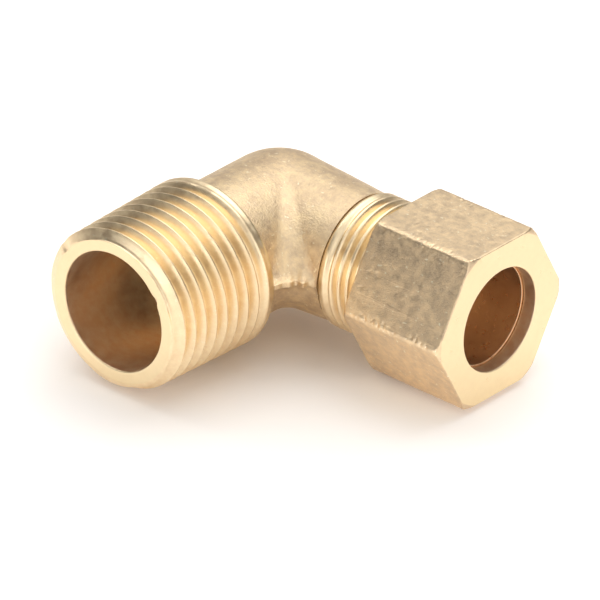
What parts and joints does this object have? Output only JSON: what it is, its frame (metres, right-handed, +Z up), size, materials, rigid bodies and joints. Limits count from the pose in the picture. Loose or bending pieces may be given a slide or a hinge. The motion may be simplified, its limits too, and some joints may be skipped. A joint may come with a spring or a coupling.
{
  "type": "compression elbow fitting",
  "caption": "Brass right-angle fitting that joins a plain tube to a tapered pipe thread: a forged elbow, and a hexagonal nut that screws down and squeezes a sleeve onto the tube.",
  "frame": {"origin": "where the centre lines of the two legs cross, on the axis of the pipe bore", "axes": "-Y along the pipe leg towards its open end, +X along the tube leg towards the nut, +Z up from the parting plane"},
  "size_m": [0.0457, 0.0416, 0.0218],
  "materials": {
    "body_brass": "forged and turned brass, matte on the forging and bright on the threads",
    "nut_brass": "turned hexagonal bar, brushed flats",
    "sleeve_brass": "bright turned brass, slightly coppery"
  },
  "bodies": {
    "root": {"elbow_body": "body_brass"},
    "sleeve": {"sleeve": "sleeve_brass"},
    "nut": {"compression_nut": "nut_brass"}
  },
  "joints": [
    {"name": "sleeve_slide", "type": "slide", "parent": "root", "child": "sleeve", "axis": [1, 0, 0], "range_m": [0, 0.01016]},
    {"name": "nut_turn", "type": "hinge", "parent": "sleeve", "child": "nut", "pos_m": [0.0274, 0, 0], "axis": [1, 0, 0], "range_deg": [0, 2880]}
  ],
  "couplings": [
    {"joint": "sleeve_slide", "follows": "nut_turn", "m_per_rad": 0.00020213}
  ]
}
